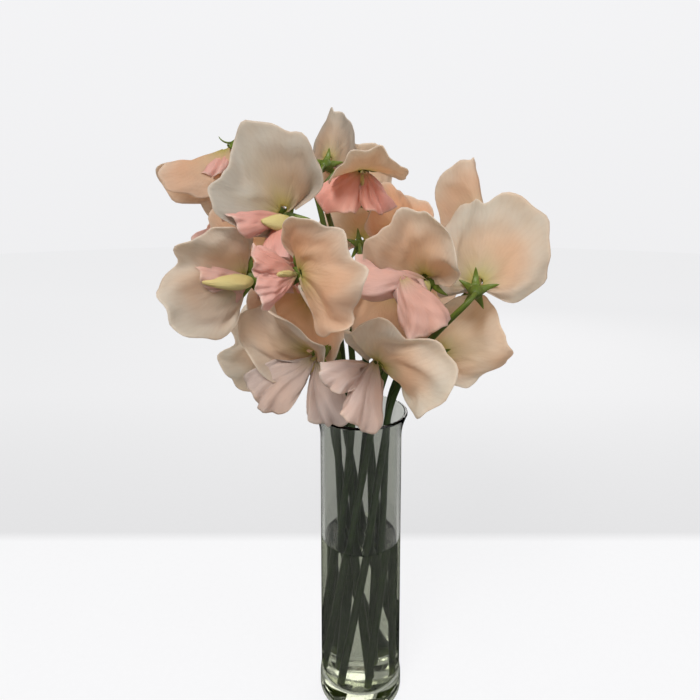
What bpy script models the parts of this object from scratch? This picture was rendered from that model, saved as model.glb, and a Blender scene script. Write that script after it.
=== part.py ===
"""A bunch of sweet peas standing in a slim glass vase of water.

Frame: metres, +Z up, origin at the middle of the vase's flat foot. The bunch's best side looks along -Y.
Every stem is one green piece with its pedicels and calyces. Each blossom has a banner (the big upright
petal) and a pair of wings folded over its keel, each a thin closed shell held clear of its neighbours.
"""

import math
from dataclasses import dataclass, replace

import bmesh
import bpy
import numpy as np
from mathutils import Vector
from mathutils.bvhtree import BVHTree

MM = 0.001
GAP = 0.3 * MM  # kept between pieces that touch

# Vase
VASE_HEIGHT = 149 * MM
VASE_RADIUS = 20.4 * MM
VASE_WALL = 1.8 * MM
FOOT_RADIUS = 21.0 * MM
FOOT_HEIGHT = 7.0 * MM
FLOOR_HEIGHT = 9.0 * MM  # top of the thick glass bottom
LIP_RADIUS = 23.4 * MM
LIP_HEIGHT = 13.0 * MM  # the stretch below the rim that flares
VASE_SIDES = 40

# Water
WATER_LEVEL = 82.5 * MM

# Stems
STEM_FOOT_RADIUS = 2.2 * MM
STEM_TIP_RADIUS = 1.2 * MM
PEDICEL_RADIUS = 1.0 * MM
STEM_FOOT_Z = 12 * MM
NECK_Z = 146 * MM
ROUTE_STEPS = 12

# Calyx: a small green cup with five lobes bent outwards
CALYX_LENGTH = 6.0 * MM
CALYX_BACK_RADIUS = 1.7 * MM
CALYX_MOUTH_RADIUS = 3.2 * MM
CALYX_LOBE_REACH = 7.0 * MM
CALYX_LOBE_SETBACK = 1.2 * MM
CALYX_LOBES = 5

# Petals of a blossom of size 1
PETAL_THICKNESS = 0.6 * MM
BANNER_HEIGHT = 36 * MM
BANNER_BLUNT = 0.45  # reach of the fan's far sides as a share of its height: the higher, the rounder
BANNER_RIPPLE = 1.6 * MM
BANNER_RIPPLES = 7  # radians of wave from the middle of the fan to each far side
BANNER_CLAW = (1.6 * MM, 2.2 * MM)  # from the middle of the calyx's mouth: forward, then up
WING_LENGTH = 28 * MM
WING_ANGLE = 62
WING_BLUNT = 0.30
WING_NOTCH = 0.12
WING_CURL = -20
WING_RISE = 24  # the wings leave the claw this far above the facing direction, in degrees
WING_CLAW = (2.2 * MM, -1.4 * MM)
CLAW_SHARE = 0.09  # the fan starts this far out, as a narrow claw
NOTCH_ANGLE = 0.16  # half-width of the notch at the petal's tip, in radians
SIDE_REACH = 0.985  # the fan stops just short of its half angle, where its corner closes
CORNER_POWER = 7  # the higher, the squarer the fan's two far corners
CREASE_WIDTH = 2.5 * MM
BEND_STEPS = 12

# Settling: how blossoms are moved apart, in millimetres a round
SETTLE_ROUNDS = 150
SETTLE_STEP = 0.8
SETTLE_MOST = 1.6
SETTLE_PETAL_SHARE = 0.7  # of a petal's step away from a stalk: the stalk takes the rest
SETTLE_DEPTH_BIAS = 2.3  # how much more they move front to back than across
SETTLE_HALF_THICKNESS = PETAL_THICKNESS / 2 + 0.7 * GAP

GREEN = (0.10, 0.17, 0.03, 1)
CREAM = (0.78, 0.66, 0.52, 1)
PINK = (0.80, 0.45, 0.36, 1)


@dataclass
class Blossom:
    """One flower. `at` is the middle of its calyx's mouth, in millimetres.

    azimuth: the way it faces, 0 towards -Y and 90 towards +X; elevation: above the horizon;
    roll: how far its top leans anticlockwise, seen from its front. fold: degrees that the banner's left
    and right halves close forwards. rise and recline: the banner's angle from the facing direction at its
    claw and at its top edge. droop: the wings' angle below the facing direction at their tips. spread:
    how far each wing stands out from the keel's plane. notch: its depth in the banner's top edge, as a
    share of the banner. lobes: how far the banner's left and right sides reach beside an even one.
    breadth: half of the fan that the banner fills, in degrees.
    """

    name: str
    at: tuple
    azimuth: float
    elevation: float = 0
    roll: float = 0
    size: float = 1.0
    fold: tuple = (8, 8)
    rise: float = 45
    recline: float = 100
    curl: float = 12
    droop: float = 15
    spread: float = 28
    wing_size: float = 1.0
    wave: float = 1.0
    notch: float = 0.10
    lobes: tuple = (1.0, 1.0)
    breadth: float = 104


@dataclass
class Stem:
    """One stem: its turns round the vase's axis at foot and neck, in degrees from +X, its distance
    from that axis, and the blossoms it carries, the last of them at its tip."""

    name: str
    foot: float
    neck: float
    reach: float
    carries: tuple
    node: float = 0.72  # where the side pedicels leave, as a share of the way from neck to tip


BLOSSOMS = (
    Blossom("upper_left_side", (-59, -8, 277), -80, -42, 0, 0.88, (60, 60), 15, 45, 20, 5, 12, 0.8),
    Blossom(
        "upper_left_front", (-30, -44, 244), 16, 2, 52, 0.84, (6, 8), 65, 125, 12, 50, 50, 1.25,
        notch=0.26, lobes=(1.32, 0.74), breadth=114,
    ),
    Blossom("top_back", (-17, 14, 271), 168, 8, 4, 0.85, (52, 52), 40, 80),
    Blossom("top_front", (0, -15, 267), 5, -50, 0, 0.72, (15, 15), 45, 100, 12, 12, 35, 1.15),
    Blossom("rear_right", (18, 12, 231), 30, 35, 0, 0.75),
    Blossom("right_back", (46, -42, 214), 165, 0, 6, 1.06, (30, 2), 50, 95, breadth=116),
    Blossom("right_low", (23, -38, 188), 160, 0, 65, 0.82, (12, 6), 50, 95),
    Blossom("centre_pink", (23, -49, 221), -20, -8, 25, 0.78, (14, 10), 45, 100, 12, 35, 50, 1.35),
    Blossom(
        "centre_cream", (-19, -62, 230), -28, 0, -72, 0.76, (6, 6), 50, 115, 12, 20, 40,
        lobes=(1.12, 0.92),
    ),
    Blossom("left", (-46, -42, 222), 4, 4, 78, 1.0, (14, 10), 50, 100, 12, -5, 40, lobes=(0.78, 0.95)),
    Blossom("inner_left", (-36, -14, 228), -20, 0, 20, 0.85, (20, 20), 45, 100, 12, 30, 40),
    Blossom("lower_left", (-18, -40, 190), -38, -12, 28, 0.78, (28, 28), 45, 100, 12, 45, 50, 1.4),
    Blossom(
        "lower_centre", (4, -50, 189), -30, -12, -44, 0.86, (8, 8), 50, 105, 12, 40, 45, 1.3,
        notch=0.24, lobes=(1.12, 0.9),
    ),
    Blossom("lower_left_back", (-33, -12, 182), -150, 0, -80, 0.78, notch=0.2),
    Blossom("centre_low", (-17, -24, 213), -15, -10, 150, 0.8),
    Blossom("centre_right_low", (8, -24, 213), 0, -5, 150, 0.8),
    Blossom("right_top", (64, 3, 236), 200, 6, 0, 1.05, (66, 66), 40, 80, 12, 5, 6, 0.75),
    Blossom("back_left", (-56, 17, 240), -108, 5, 0, 1.05),
    Blossom("back_right", (56, 30, 220), 105, 0, 0, 0.95),
    Blossom("back_centre", (0, 50, 228), 180, -5, 0, 1.05),
    Blossom("back_low_left", (-34, 34, 198), -140, -20, 20, 1.0),
    Blossom("back_low_right", (30, 36, 194), 145, -20, -20, 1.0),
    Blossom("back_top", (-2, 38, 253), 175, 28, 0, 0.88),
)

STEMS = (
    Stem("stem_right_front", -126, -33, 15.0, ("right_low", "right_back"), 0.4),
    Stem("stem_front", -173, -72, 15.0, ("centre_right_low", "lower_centre"), 0.5),
    Stem("stem_left_centre", 147, -108, 15.0, ("inner_left", "centre_cream")),
    Stem("stem_left_low", 107, -142, 15.0, ("lower_left_back", "lower_left")),
    Stem("stem_left", 67, -178, 15.0, ("centre_low", "left")),
    Stem("stem_back_left", 22, 132, 15.0, ("back_low_left", "back_left")),
    Stem("stem_back", -25, 75, 15.0, ("back_low_right", "back_centre")),
    Stem("stem_right_back", -78, 20, 15.0, ("back_right", "right_top")),
    Stem("stem_centre_right", 60, -50, 7.0, ("rear_right", "centre_pink")),
    Stem("stem_upper_left", -60, 170, 7.0, ("upper_left_front", "upper_left_side")),
    Stem("stem_top", 180, 60, 7.0, ("top_front", "back_top", "top_back")),
)


# ---------------------------------------------------------------- helpers

def clear_scene():
    for obj in list(bpy.data.objects):
        bpy.data.objects.remove(obj, do_unlink=True)


def new_collection(name):
    collection = bpy.data.collections.new(name)
    bpy.context.scene.collection.children.link(collection)
    return collection


def material(name, colour, roughness, transmission=0.0):
    made = bpy.data.materials.new(name)
    made.use_nodes = True
    shader = made.node_tree.nodes["Principled BSDF"]
    shader.inputs["Base Color"].default_value = colour
    shader.inputs["Roughness"].default_value = roughness
    shader.inputs["Transmission Weight"].default_value = transmission
    return made


def add_object(name, data, collection, finish=None):
    obj = bpy.data.objects.new(name, data)
    collection.objects.link(obj)
    if finish:
        obj.data.materials.append(finish)
    return obj


def as_cutter(obj):
    obj.hide_render = True
    obj.display_type = "WIRE"
    return obj


def boolean(target, other, operation):
    modifier = target.modifiers.new(f"{operation.lower()}_{other.name}", "BOOLEAN")
    modifier.operation = operation
    modifier.object = other
    modifier.solver = "EXACT"


# ---------------------------------------------------------------- petals

def facing(blossom):
    """(forward, up, side) unit vectors of a blossom."""
    az, el, roll = (math.radians(v) for v in (blossom.azimuth, blossom.elevation, blossom.roll))
    forward = Vector((math.sin(az) * math.cos(el), -math.cos(az) * math.cos(el), math.sin(el)))
    level_up = (Vector((0, 0, 1)) - forward * forward.z).normalized()
    level_side = forward.cross(level_up)
    up = level_up * math.cos(roll) + level_side * math.sin(roll)
    return forward, up, forward.cross(up)


def fan(columns, rows, half_angle, length, blunt, notch):
    """Flat petal: (across, along) arrays of rows by columns, from the claw out to a rounded edge."""
    turn = np.linspace(-1, 1, columns)
    share = np.linspace(CLAW_SHARE, 1, rows)
    angle = np.radians(half_angle) * turn * SIDE_REACH
    corner = np.sqrt(1 - np.abs(turn * SIDE_REACH) ** CORNER_POWER)
    round_edge = blunt + (1 - blunt) * np.cos(0.9 * angle)
    reach = length * corner * (round_edge - notch * np.exp(-((angle / NOTCH_ANGLE) ** 2)))
    distance = np.outer(share, reach)
    return distance * np.sin(angle), distance * np.cos(angle)


def bent(across, along, fold, curl, start, end, length):
    """A flat petal bent to shape, as (side, forward, up) coordinates from its claw.

    Its midline turns from angle start to end, measured from forward to up, over its length. Each half
    folds by its fold angle at the midline and curls on by curl degrees at its far edge."""
    first, bend = math.radians(start), math.radians(end - start) / length
    travel, tail = np.maximum(along, 0), np.minimum(along, 0)
    angle = first + bend * travel
    forward = (np.sin(angle) - math.sin(first)) / bend + tail * math.cos(first)
    up = (math.cos(first) - np.cos(angle)) / bend + tail * math.sin(first)
    fold_angle = np.radians(np.where(across < 0, fold[0], fold[1]))
    reach = np.abs(across)
    side, lift = np.zeros_like(reach), np.zeros_like(reach)
    for step in range(BEND_STEPS):
        s = reach * (step + 0.5) / BEND_STEPS
        lean = fold_angle * (1 - np.exp(-s / CREASE_WIDTH)) + math.radians(curl) * s / length
        side += np.cos(lean) * reach / BEND_STEPS
        lift += np.sin(lean) * reach / BEND_STEPS
    # The front face's normal turns with the midline.
    return np.sign(across) * side, forward + lift * np.sin(angle), up - lift * np.cos(angle)


def banner_points(blossom, columns=9, rows=5):
    length = BANNER_HEIGHT * blossom.size
    across, along = fan(columns, rows, blossom.breadth, length, BANNER_BLUNT, blossom.notch)
    lobes = np.interp(np.linspace(-1, 1, columns), (-0.5, 0.5), blossom.lobes)
    across, along = across * lobes, along * lobes
    shape = (blossom.fold, blossom.curl, blossom.rise, blossom.recline, length)
    side, forward, up = bent(across, along, *shape)
    share = np.linspace(CLAW_SHARE, 1, rows)
    wave = np.sin(np.linspace(-BANNER_RIPPLES, BANNER_RIPPLES, columns) + blossom.roll)
    ripple = BANNER_RIPPLE * blossom.wave * np.outer(share**3, wave)
    return placed(blossom, side, forward + ripple, up, BANNER_CLAW)


def wing_points(blossom, columns=7, rows=4):
    """Both wings as one sheet folded along the top of the keel."""
    length = WING_LENGTH * blossom.size * blossom.wing_size
    across, along = fan(columns, rows, WING_ANGLE, length, WING_BLUNT, WING_NOTCH)
    # bent() lays the front face along +forward when the midline runs up, so a sheet whose midline
    # runs forward has its front face down, and a positive fold drapes its halves downwards.
    drape = 90 - blossom.spread
    side, forward, up = bent(across, along, (drape, drape), WING_CURL, WING_RISE, -blossom.droop, length)
    return placed(blossom, side, forward, up, WING_CLAW)


def placed(blossom, side, forward, up, claw):
    """World points of a petal given along the blossom's own directions."""
    front, top, flank = facing(blossom)
    origin = Vector(blossom.at) * MM + front * claw[0] + top * claw[1]
    return (
        np.array(origin)
        + side[..., None] * np.array(flank)
        + forward[..., None] * np.array(front)
        + up[..., None] * np.array(top)
    )


def sheet_faces(rows, columns):
    return [
        (r * columns + c, r * columns + c + 1, (r + 1) * columns + c + 1, (r + 1) * columns + c)
        for r in range(rows - 1)
        for c in range(columns - 1)
    ]


def add_petal(name, points, finish, collection):
    rows, columns = points.shape[:2]
    mesh = bpy.data.meshes.new(name)
    mesh.from_pydata([tuple(p) for p in points.reshape(-1, 3)], [], sheet_faces(rows, columns))
    obj = add_object(name, mesh, collection, finish)
    thickness = obj.modifiers.new("thickness", "SOLIDIFY")
    thickness.thickness = PETAL_THICKNESS
    thickness.offset = 0
    mesh.shade_smooth()
    return obj


# ---------------------------------------------------------------- stems

def on_ring(degrees, radius, height):
    turn = math.radians(degrees)
    return Vector((math.cos(turn) * radius, math.sin(turn) * radius, height))


def curve_between(start, start_way, end, end_way, steps):
    """Points on a cubic from start to end that leaves along start_way and arrives along end_way."""
    span = (end - start).length
    first, second = start + start_way * span * 0.4, end - end_way * span * 0.35
    found = []
    for step in range(steps + 1):
        t = step / steps
        a, b, c, d = (1 - t) ** 3, 3 * t * (1 - t) ** 2, 3 * t * t * (1 - t), t**3
        found.append(start * a + first * b + second * c + end * d)
    return found


def calyx_back(blossom):
    return Vector(blossom.at) * MM - facing(blossom)[0] * CALYX_LENGTH


def stem_route(stem, blossoms):
    """The stem's own line, from its cut foot to inside the calyx at its tip."""
    foot = on_ring(stem.foot, stem.reach * MM, STEM_FOOT_Z)
    neck = on_ring(stem.neck, stem.reach * MM, NECK_Z)
    rise = (neck - foot).normalized()
    tip = blossoms[stem.carries[-1]]
    forward = facing(tip)[0]
    head = curve_between(neck, rise, calyx_back(tip) + forward * 2 * MM, forward, ROUTE_STEPS)
    return [foot, foot.lerp(neck, 0.35), foot.lerp(neck, 0.7)] + head


def stem_lines(stem, blossoms):
    """(blossom at its end, points, radius) of the stem above the neck and of each of its pedicels."""
    route = stem_route(stem, blossoms)
    lines = [(stem.carries[-1], route[3:], STEM_TIP_RADIUS + 0.3 * MM)]
    for name in stem.carries[:-1]:
        lines.append((name, pedicel_route(stem, blossoms, name), PEDICEL_RADIUS))
    return lines


def pedicel_route(stem, blossoms, name):
    """From a node on the stem to inside the calyx of a side blossom."""
    route = stem_route(stem, blossoms)
    node = 3 + round(stem.node * ROUTE_STEPS)
    way = (route[node + 1] - route[node - 1]).normalized()
    forward = facing(blossoms[name])[0]
    return curve_between(route[node], way, calyx_back(blossoms[name]) + forward * 2 * MM, forward, 6)


def tube(name, points, radii, sides_level, collection):
    """A closed tube along the points, as a mesh with its caps welded."""
    curve = bpy.data.curves.new(name, "CURVE")
    curve.dimensions = "3D"
    curve.bevel_depth = 1.0
    curve.bevel_resolution = sides_level
    curve.use_fill_caps = True
    spline = curve.splines.new("POLY")
    spline.points.add(len(points) - 1)
    for point, place, radius in zip(spline.points, points, radii):
        point.co = (*place, 1)
        point.radius = radius
    wire = add_object(name + "_line", curve, collection)
    bpy.context.view_layer.update()
    mesh = bpy.data.meshes.new_from_object(wire.evaluated_get(bpy.context.evaluated_depsgraph_get()))
    weld(mesh)
    obj = add_object(name, mesh, collection)
    obj.matrix_world = wire.matrix_world
    bpy.data.objects.remove(wire, do_unlink=True)
    return obj


def weld(mesh):
    work = bmesh.new()
    work.from_mesh(mesh)
    bmesh.ops.remove_doubles(work, verts=work.verts, dist=0.01 * MM)
    bmesh.ops.recalc_face_normals(work, faces=work.faces)
    work.to_mesh(mesh)
    work.free()


def calyx(blossom, collection):
    """A cup lofted from a round back to a star of lobes."""
    front, top, flank = facing(blossom)
    mouth = Vector(blossom.at) * MM
    corners = 2 * CALYX_LOBES
    rings = []
    for depth, radius, lobe_radius, setback in (
        (CALYX_LENGTH, CALYX_BACK_RADIUS, CALYX_BACK_RADIUS, 0),
        (CALYX_LENGTH * 0.35, CALYX_MOUTH_RADIUS, CALYX_MOUTH_RADIUS, 0),
        (CALYX_LENGTH * 0.12, CALYX_MOUTH_RADIUS, CALYX_LOBE_REACH, CALYX_LOBE_SETBACK),
        (0, CALYX_MOUTH_RADIUS * 0.8, CALYX_MOUTH_RADIUS * 0.9, 0),
    ):
        ring = []
        for corner in range(corners):
            turn = 2 * math.pi * corner / corners + math.pi / 2
            is_lobe = corner % 2 == 0
            reach = lobe_radius if is_lobe else radius
            back = depth + (setback if is_lobe else 0)
            ring.append(mouth - front * back + (top * math.sin(turn) + flank * math.cos(turn)) * reach)
        rings.append(ring)
    points = [p for ring in rings for p in ring]
    faces = [tuple(range(corners)), tuple(range(3 * corners, 4 * corners))]
    for level in range(len(rings) - 1):
        for corner in range(corners):
            after = (corner + 1) % corners
            low, high = level * corners, (level + 1) * corners
            faces.append((low + corner, low + after, high + after, high + corner))
    mesh = bpy.data.meshes.new("calyx_" + blossom.name)
    mesh.from_pydata(points, [], faces)
    weld(mesh)
    return add_object("calyx_" + blossom.name, mesh, collection)


def add_stem(stem, blossoms, finish, parts, helpers):
    route = stem_route(stem, blossoms)
    count = len(route)
    thinning = STEM_FOOT_RADIUS - STEM_TIP_RADIUS
    taper = [STEM_FOOT_RADIUS - thinning * max(0, i - 2) / (count - 3) for i in range(count)]
    obj = tube(stem.name, route, taper, 2, parts)
    obj.data.materials.append(finish)
    for name in stem.carries:
        if name != stem.carries[-1]:
            line = pedicel_route(stem, blossoms, name)
            pedicel = tube("pedicel_" + name, line, [PEDICEL_RADIUS] * len(line), 1, helpers)
            boolean(obj, as_cutter(pedicel), "UNION")
        boolean(obj, as_cutter(calyx(blossoms[name], helpers)), "UNION")
    return obj


# ---------------------------------------------------------------- vase and water

def add_vase(finish, collection):
    inner = VASE_RADIUS - VASE_WALL
    lip_inner = LIP_RADIUS - VASE_WALL
    lip_foot = VASE_HEIGHT - LIP_HEIGHT
    flare = [0.25, 0.5, 0.75]
    corner = (inner - 0.8 * MM, FLOOR_HEIGHT + 0.9 * MM)
    profile = [(0, FLOOR_HEIGHT), (inner - 3 * MM, FLOOR_HEIGHT), corner]
    profile += [(inner, FLOOR_HEIGHT + 3 * MM), (inner, lip_foot)]
    profile += [(inner + (lip_inner - inner) * t * t, lip_foot + LIP_HEIGHT * t) for t in flare]
    profile += [(lip_inner, VASE_HEIGHT - 0.6 * MM), (lip_inner + 0.7 * MM, VASE_HEIGHT)]
    profile += [(LIP_RADIUS - 0.5 * MM, VASE_HEIGHT - 0.1 * MM), (LIP_RADIUS, VASE_HEIGHT - 0.8 * MM)]
    profile += [
        (VASE_RADIUS + (LIP_RADIUS - VASE_RADIUS) * t * t, lip_foot + LIP_HEIGHT * t)
        for t in reversed(flare)
    ]
    profile += [(VASE_RADIUS, lip_foot), (VASE_RADIUS - 0.3 * MM, FOOT_HEIGHT + 4 * MM)]
    profile += [(FOOT_RADIUS, FOOT_HEIGHT), (FOOT_RADIUS, 1.2 * MM), (FOOT_RADIUS - 1.2 * MM, 0), (0, 0)]
    mesh = bpy.data.meshes.new("vase")
    edges = [(i, i + 1) for i in range(len(profile) - 1)]
    mesh.from_pydata([(x, 0, z) for x, z in profile], edges, [])
    obj = add_object("vase", mesh, collection, finish)
    turn = obj.modifiers.new("turn", "SCREW")
    turn.steps = VASE_SIDES
    turn.render_steps = VASE_SIDES
    turn.use_merge_vertices = True
    turn.merge_threshold = 0.05 * MM
    return obj


def add_water(finish, stems, blossoms, collection, helpers):
    low, high = FLOOR_HEIGHT + GAP, WATER_LEVEL
    bpy.ops.mesh.primitive_cylinder_add(
        vertices=VASE_SIDES,
        radius=(VASE_RADIUS - VASE_WALL) - 2 * GAP,
        depth=high - low,
        location=(0, 0, (low + high) / 2),
    )
    obj = bpy.context.object
    obj.name = "water"
    obj.data.name = "water"
    for holder in list(obj.users_collection):
        holder.objects.unlink(obj)
    collection.objects.link(obj)
    obj.data.materials.append(finish)
    edge = obj.modifiers.new("round_floor_edge", "BEVEL")
    edge.width = 2.4 * MM
    edge.segments = 2
    edge.limit_method = "WEIGHT"
    mark = obj.data.attributes.new("bevel_weight_edge", "FLOAT", "EDGE")
    for side in obj.data.edges:
        a, b = (obj.data.vertices[i].co.z for i in side.vertices)
        mark.data[side.index].value = 1.0 if a < 0 and b < 0 else 0.0
    for stem in stems:
        route = stem_route(stem, blossoms)
        foot, neck = route[0], route[3]
        rise = (neck - foot).normalized()
        line = [foot - rise * GAP, foot + rise * (WATER_LEVEL * 1.15)]
        hole = tube("hole_" + stem.name, line, [STEM_FOOT_RADIUS + GAP] * 2, 2, helpers)
        boolean(obj, as_cutter(hole), "DIFFERENCE")
    return obj


# ---------------------------------------------------------------- settling the bunch

def shell_tree(sheets):
    """A search tree of sheets thickened to a petal and its gap, for finding what cuts into what."""
    points, faces = [], []
    for sheet in sheets:
        rows, columns = sheet.shape[:2]
        along, across = np.gradient(sheet, axis=(0, 1))
        normal = np.cross(along, across)
        normal /= np.linalg.norm(normal, axis=2, keepdims=True) + 1e-12
        for side in (-1, 1):
            first = len(points)
            moved = sheet + normal * side * SETTLE_HALF_THICKNESS
            points += [Vector(p) for p in moved.reshape(-1, 3)]
            faces += [tuple(first + i for i in face) for face in sheet_faces(rows, columns)]
    return BVHTree.FromPolygons(points, faces)


def tube_sheet(line, radius, sides=6):
    """A tube round a line of points, as a grid."""
    turn = np.linspace(0, 2 * math.pi, sides + 1)
    way = (line[-1] - line[0]).normalized()
    flank = way.orthogonal().normalized()
    other = way.cross(flank)
    ring = np.cos(turn)[:, None] * np.array(flank) + np.sin(turn)[:, None] * np.array(other)
    return np.array([np.array(p) + ring * radius for p in line])


def calyx_sheet(blossom):
    """A cone round the calyx out to its lobes, as a grid."""
    front, top, flank = facing(blossom)
    mouth = Vector(blossom.at) * MM
    turn = np.linspace(0, 2 * math.pi, 9)
    ring = np.cos(turn)[:, None] * np.array(flank) + np.sin(turn)[:, None] * np.array(top)
    lobe = (CALYX_LOBE_SETBACK, CALYX_LOBE_REACH)
    rows = ((CALYX_LENGTH, CALYX_BACK_RADIUS), lobe, (0, CALYX_MOUTH_RADIUS))
    return np.array([np.array(mouth - front * back) + ring * (radius + GAP) for back, radius in rows])


def settle(blossoms, stems):
    """Blossoms by name, moved apart step by step until no petal cuts into another or into a stem."""
    names = list(blossoms)
    for _round in range(SETTLE_ROUNDS):
        petals, middles = {}, {}
        for name in names:
            sheets = (banner_points(blossoms[name]), wing_points(blossoms[name]))
            petals[name] = shell_tree(sheets)
            middles[name] = Vector(np.concatenate([s.reshape(-1, 3) for s in sheets]).mean(axis=0))
        push = {name: Vector() for name in names}
        for i, first in enumerate(names):
            for second in names[i + 1:]:
                if petals[first].overlap(petals[second]):
                    way = spread_way(middles[first] - middles[second])
                    push[first] += way
                    push[second] -= way
        for stem in stems:
            for owner, line, radius in stem_lines(stem, blossoms):
                green = shell_tree([tube_sheet(line, radius + GAP)])
                for name in names:
                    if name != owner and petals[name].overlap(green):
                        nearest = min(line, key=lambda p: (p - middles[name]).length)
                        way = spread_way(middles[name] - nearest)
                        push[name] += way * SETTLE_PETAL_SHARE
                        push[owner] -= way * (1 - SETTLE_PETAL_SHARE)
        for owner in names:
            star = shell_tree([calyx_sheet(blossoms[owner])])
            for name in names:
                if name != owner and petals[name].overlap(star):
                    way = spread_way(middles[name] - Vector(blossoms[owner].at) * MM)
                    push[name] += way / 2
                    push[owner] -= way / 2
        if not any(way.length for way in push.values()):
            break
        for name, way in push.items():
            if way.length:
                step = way * min(1, SETTLE_MOST / way.length)
                blossoms[name] = replace(blossoms[name], at=tuple(Vector(blossoms[name].at) + step))
    return blossoms


def spread_way(way):
    """One step apart, taken more in depth than across."""
    return Vector((way.x, way.y * SETTLE_DEPTH_BIAS, way.z)).normalized() * SETTLE_STEP


# ---------------------------------------------------------------- build

def build():
    clear_scene()
    parts = new_collection("sweet_peas_in_vase")
    helpers = new_collection("cutters")
    glass = material("glass", (0.85, 0.90, 0.86, 1), 0.03, 1.0)
    water = material("water", (0.75, 0.80, 0.68, 1), 0.02, 1.0)
    stalk = material("stem_green", GREEN, 0.55)
    cream = material("banner_cream", CREAM, 0.6)
    pink = material("wing_pink", PINK, 0.6)
    blossoms = settle({blossom.name: blossom for blossom in BLOSSOMS}, STEMS)
    add_vase(glass, parts)
    add_water(water, STEMS, blossoms, parts, helpers)
    for stem in STEMS:
        add_stem(stem, blossoms, stalk, parts, helpers)
    for blossom in blossoms.values():
        add_petal("banner_" + blossom.name, banner_points(blossom), cream, parts)
        add_petal("wings_" + blossom.name, wing_points(blossom), pink, parts)


build()
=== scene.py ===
"""A bunch of sweet peas in a slim glass vase: the looks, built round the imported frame.

Every piece takes its place from the frame's own solids, in metres, +Z up, best side towards -Y.
"""

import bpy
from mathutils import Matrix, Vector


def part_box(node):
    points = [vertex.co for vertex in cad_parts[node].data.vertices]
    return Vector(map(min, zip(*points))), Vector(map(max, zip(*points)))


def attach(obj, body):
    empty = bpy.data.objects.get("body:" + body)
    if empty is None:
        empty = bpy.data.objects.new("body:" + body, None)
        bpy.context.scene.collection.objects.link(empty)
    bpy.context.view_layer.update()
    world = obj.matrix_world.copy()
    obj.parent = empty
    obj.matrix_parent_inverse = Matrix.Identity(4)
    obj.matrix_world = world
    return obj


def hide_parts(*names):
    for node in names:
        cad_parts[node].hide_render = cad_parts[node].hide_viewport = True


bl_info = {
    "name": "Sweet Peas in a Vase",
    "version": (1, 0, 0),
    "blender": (4, 5, 0),
    "location": "View3D > Sidebar > Sweet Pea",
    "description": "Petals, keels, stems, a glass vase and its water, round a fixed frame",
    "category": "Add Mesh",
}

import math
from dataclasses import dataclass, replace

import bmesh
import bpy
import numpy as np
from bpy.props import FloatProperty, FloatVectorProperty, IntProperty, PointerProperty
from mathutils import Vector

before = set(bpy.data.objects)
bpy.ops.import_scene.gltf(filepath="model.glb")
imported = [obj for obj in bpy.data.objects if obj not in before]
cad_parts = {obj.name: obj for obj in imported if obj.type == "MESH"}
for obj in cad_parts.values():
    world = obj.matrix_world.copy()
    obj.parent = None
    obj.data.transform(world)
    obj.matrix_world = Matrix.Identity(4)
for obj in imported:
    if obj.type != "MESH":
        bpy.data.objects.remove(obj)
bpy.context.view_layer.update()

MM = 0.001
BODY = "root"

# The frame's own measures, which its solids were made with
VASE_WALL = 1.8 * MM
FLOOR_HEIGHT = 9.0 * MM
LIP_HEIGHT = 13.0 * MM
STEM_FOOT_Z = 12 * MM
NECK_Z = 146 * MM
ROUTE_STEPS = 12
CALYX_LENGTH = 6.0 * MM
BANNER_HEIGHT = 36 * MM
BANNER_BLUNT = 0.45
BANNER_RIPPLE = 1.6 * MM
BANNER_RIPPLES = 7
BANNER_CLAW = (1.6 * MM, 2.2 * MM)
WING_LENGTH = 28 * MM
CLAW_SHARE = 0.09
NOTCH_ANGLE = 0.16
SIDE_REACH = 0.985
CORNER_POWER = 7
CREASE_WIDTH = 2.5 * MM
BEND_STEPS = 12

# Petals. A grid is columns and rows; a scallop is a share of the petal's reach.
BANNER_GRID = (65, 33)
BANNER_SCALLOP = 0.065
BANNER_SEED_STEP = 1.3
BANNER_TRANSLUCENCY = 0.54
WING_GRID = (41, 27)
WING_BLUNT = 0.62
WING_SCALLOP = 0.06
WING_OVERREACH = 1.04
WING_SKEW = 0.14
WING_BOW = 16
WING_SEED_STEP = 0.9
WING_TRANSLUCENCY = 0.46
PLEATS = 5
KEEL_LENGTH = 13.5 * MM
KEEL_HALF_WIDTH = 2.3 * MM
KEEL_HALF_HEIGHT = 3.9 * MM
KEEL_TRANSLUCENCY = 0.15

# Stems and calyces
CALYX_LOBES = 5
STEM_BOW = 1.6 * MM
SMALL_STALK_RADIUS = 1.15 * MM
STALK_WAIST = 0.3 * MM
CALYX_ENTRY = 2 * MM

# Vase and water
FOOT_INSET = 2.4 * MM
BODY_INSET = 3.0 * MM
CORNER_RADIUS = 3.2 * MM
LIP_BEAD = 0.9 * MM
FOOT_ROUND = 1.6 * MM
GLASS_IOR = 1.5
WATER_IOR = 1.33

# Stage: a light is its name, place, width, watts and colour; a tone is where along the ramp, and its grey.
CAMERA_PLACE = (-0.0055, -0.262, 0.253)
CAMERA_DIP = 6.1
CAMERA_SHIFT = -0.13
SENSOR_WIDTH = 36
LENS = 27 / 35 * SENSOR_WIDTH
LIGHT_TARGET = (0, 0, 0.21)
LIGHTS = (
    ("key", (-0.3, -0.7, 1.0), 0.45, 11.0, (1.0, 0.985, 0.965)),
    ("fill", (0.8, -0.5, 0.5), 0.8, 2.5, (0.95, 0.97, 1.0)),
    ("back", (0.25, 0.8, 0.6), 0.8, 5.0, (1.0, 0.98, 0.95)),
)
SKY_COLOUR = (0.94, 0.95, 0.97, 1)
SKY_STRENGTH = 0.38
DOME_RADIUS = 2.9
# The wall's tones are painted light: its grey rises from the horizon upwards, as if lit from above.
DOME_TONES = ((0.0, 0.865), (0.45, 0.905))
DOME_BLUE = 1.015
FLOOR_RADIUS = 3.0
# The floor's tones: the tabletop's even pale, then painted shade beyond its back edge that lightens again
# far off.
FLOOR_TONES = ((0.0, 0.905), (0.0412, 0.905), (0.0424, 0.75), (0.14, 0.84), (0.37, 0.88), (0.9, 0.885))
FLOOR_BLUE = 1.012
FLOOR_GLOW = 0.93


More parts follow.
